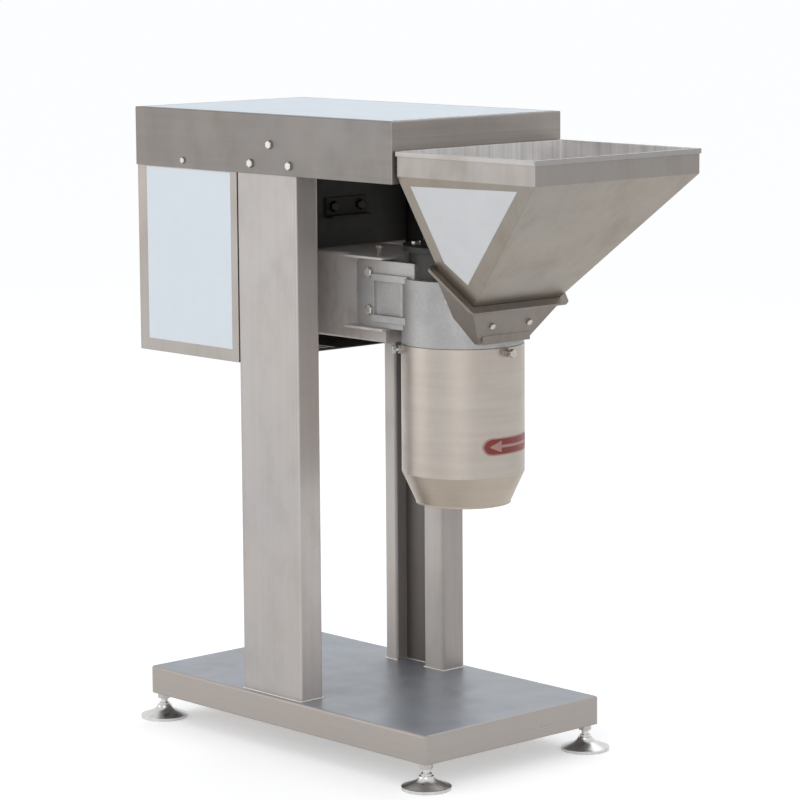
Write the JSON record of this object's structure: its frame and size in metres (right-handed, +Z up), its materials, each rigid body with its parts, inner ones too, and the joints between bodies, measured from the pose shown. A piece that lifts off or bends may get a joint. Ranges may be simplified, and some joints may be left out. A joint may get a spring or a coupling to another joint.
{
  "type": "electric garlic chopper",
  "caption": "Floor-standing electric garlic chopper with a side hopper, a belt-driven upright knife spindle, a discharge drum, a motor housing between columns and a base tray on levelling feet.",
  "frame": {"origin": "middle of the overall footprint, on the floor under the levelling feet", "axes": "+X from the motor towards the hopper, +Y towards the recessed rear column, +Z up along the spindle"},
  "size_m": [0.975, 0.45, 1.076],
  "materials": {
    "stainless_sheet": "brushed stainless sheet with welded seams",
    "stainless_tube": "brushed stainless tube",
    "hopper_steel": "bright stainless sheet",
    "cast_housing": "fine blasted casting, machined faces",
    "plate_steel": "thick plate, light brushing",
    "machined_steel": "turned and ground steel",
    "hardened_steel": "ground knife steel",
    "fastener_steel": "zinc plated fastener",
    "foot_steel": "plated foot and stud",
    "motor_paint": "satin enamel",
    "cast_pulley": "machined cast iron",
    "stator_iron": "laminated core with windings",
    "belt_rubber": "black rubber belt",
    "seal_rubber": "black nitrile rubber",
    "fan_plastic": "moulded plastic",
    "switch_plastic": "moulded plastic",
    "gland_plastic": "moulded nylon",
    "green_button": "green button cap",
    "red_button": "red button cap"
  },
  "bodies": {
    "frame": {"base_tray": "stainless_sheet", "tray_underframe": "plate_steel", "foot_lock_nuts": "fastener_steel", "near_column": "stainless_tube", "rear_posts": "stainless_tube", "rear_column_panel": "stainless_sheet", "cross_beam": "stainless_tube", "head_arm": "stainless_tube", "drive_guard": "stainless_sheet", "stay_bracket": "plate_steel", "stay_bolts": "fastener_steel", "motor_plate": "plate_steel", "motor_plate_bolts": "fastener_steel", "motor_cover": "stainless_sheet", "motor_side_panel": "stainless_sheet", "motor_cover_floor": "stainless_sheet", "cable_gland": "gland_plastic", "switch_box": "switch_plastic", "belt_cover": "stainless_sheet", "cover_bolts": "fastener_steel", "belt_floor": "stainless_sheet", "motor_body": "motor_paint", "motor_foot_bolts": "fastener_steel", "motor_end_shields": "motor_paint", "motor_stator": "stator_iron", "motor_fan_cowl": "motor_paint", "terminal_box": "motor_paint", "drive_belts": "belt_rubber", "feed_chute": "stainless_sheet", "cutter_housing": "cast_housing", "cheek_bolts": "fastener_steel", "chute_bolts": "fastener_steel", "bearing_housing": "cast_housing", "bearing_flange_bolts": "fastener_steel", "spindle_bearings": "machined_steel", "bearing_cap": "machined_steel", "shaft_seal": "seal_rubber", "fixed_knife_ring": "hardened_steel"},
    "spindle": {"spindle": "machined_steel", "spindle_pulley": "cast_pulley", "rotor_blades": "hardened_steel", "blade_spacers": "machined_steel", "rotor_nut": "machined_steel"},
    "motor_rotor": {"motor_shaft": "machined_steel", "motor_pulley": "cast_pulley", "motor_fan": "fan_plastic"},
    "hopper": {"hopper_body": "hopper_steel", "hopper_rim": "hopper_steel"},
    "drum": {"discharge_drum": "stainless_sheet"},
    "drum_screw_front": {"drum_screw_1": "fastener_steel"},
    "drum_screw_far": {"drum_screw_2": "fastener_steel"},
    "drum_screw_near": {"drum_screw_3": "fastener_steel"},
    "near_height_screw": {"height_screw_near": "fastener_steel"},
    "far_height_screw": {"height_screw_far": "fastener_steel"},
    "foot_rear_near": {"levelling_foot_rear_near": "foot_steel"},
    "foot_front_near": {"levelling_foot_front_near": "foot_steel"},
    "foot_rear_far": {"levelling_foot_rear_far": "foot_steel"},
    "foot_front_far": {"levelling_foot_front_far": "foot_steel"},
    "start_button": {"start_button": "green_button"},
    "stop_button": {"stop_button": "red_button"}
  },
  "joints": [
    {"name": "motor_spin", "type": "hinge", "parent": "frame", "child": "motor_rotor", "pos_m": [-0.3095, 0, 0.86], "axis": [0, 0, 1], "continuous": true},
    {"name": "spindle_spin", "type": "hinge", "parent": "frame", "child": "spindle", "pos_m": [0.1305, 0, 0.86], "axis": [0, 0, 1], "continuous": true},
    {"name": "hopper_lift", "type": "slide", "parent": "frame", "child": "hopper", "axis": [0, 0, 1], "range_m": [0, 0.1]},
    {"name": "drum_drop", "type": "slide", "parent": "frame", "child": "drum", "axis": [0, 0, -1], "range_m": [0, 0.06]},
    {"name": "front_drum_screw", "type": "slide", "parent": "drum", "child": "drum_screw_front", "axis": [1, 0, 0], "range_m": [0, 0.008]},
    {"name": "far_drum_screw", "type": "slide", "parent": "drum", "child": "drum_screw_far", "axis": [-0.5, 0.866, 0], "range_m": [0, 0.008]},
    {"name": "near_drum_screw", "type": "slide", "parent": "drum", "child": "drum_screw_near", "axis": [-0.5, -0.866, 0], "range_m": [0, 0.008]},
    {"name": "near_height_screw_travel", "type": "slide", "parent": "frame", "child": "near_height_screw", "axis": [0, 0, 1], "range_m": [0, 0.006]},
    {"name": "far_height_screw_travel", "type": "slide", "parent": "frame", "child": "far_height_screw", "axis": [0, 0, 1], "range_m": [0, 0.006]},
    {"name": "rear_near_foot_travel", "type": "slide", "parent": "frame", "child": "foot_rear_near", "axis": [0, 0, 1], "range_m": [-0.015, 0.007]},
    {"name": "front_near_foot_travel", "type": "slide", "parent": "frame", "child": "foot_front_near", "axis": [0, 0, 1], "range_m": [-0.015, 0.007]},
    {"name": "rear_far_foot_travel", "type": "slide", "parent": "frame", "child": "foot_rear_far", "axis": [0, 0, 1], "range_m": [-0.015, 0.007]},
    {"name": "front_far_foot_travel", "type": "slide", "parent": "frame", "child": "foot_front_far", "axis": [0, 0, 1], "range_m": [-0.015, 0.007]},
    {"name": "start_button_press", "type": "slide", "parent": "frame", "child": "start_button", "axis": [0, -1, 0], "range_m": [0, 0.003], "stiffness_N_per_m": 600},
    {"name": "stop_button_press", "type": "slide", "parent": "frame", "child": "stop_button", "axis": [0, -1, 0], "range_m": [0, 0.003], "stiffness_N_per_m": 600}
  ],
  "couplings": [
    {"joint": "spindle_spin", "follows": "motor_spin", "ratio": 1.7037}
  ]
}
